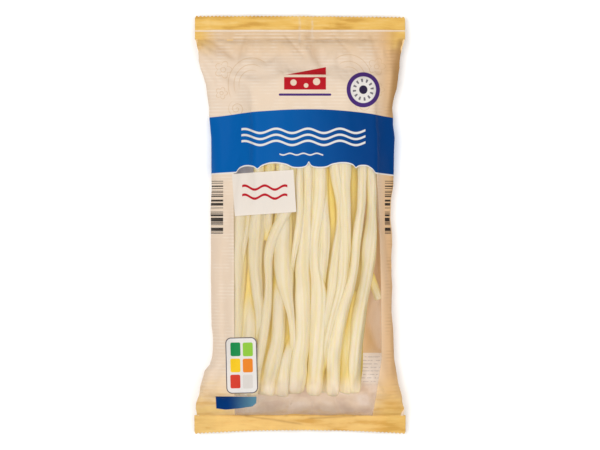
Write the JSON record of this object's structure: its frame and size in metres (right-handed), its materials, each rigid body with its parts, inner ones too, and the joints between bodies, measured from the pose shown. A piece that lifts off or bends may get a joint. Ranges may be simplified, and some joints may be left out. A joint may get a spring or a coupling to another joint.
{
  "type": "pack of string cheese",
  "caption": "Flow-wrapped pillow pack of pale cheese strings, lying on its back, with flat crimped end seals, a printed film and a long clear window over the strings.",
  "frame": {"origin": "centre of the pack's footprint, on the surface that its back rests on", "axes": "+Y along the pack towards its top seal, +X to the right as the front is read, +Z out of the front with the window"},
  "size_m": [0.1282, 0.2514, 0.027],
  "materials": {
    "printed_film": "satin cream film with a deep blue printed band, golden sealed ends and faint tan ornament",
    "clear_film": "thin clear plastic film, glossy and slightly hazy",
    "cheese": "moist pale ivory-yellow stretched-curd cheese with fine lengthwise fibres"
  },
  "bodies": {
    "root": {"pack": "printed_film"}
  },
  "joints": []
}
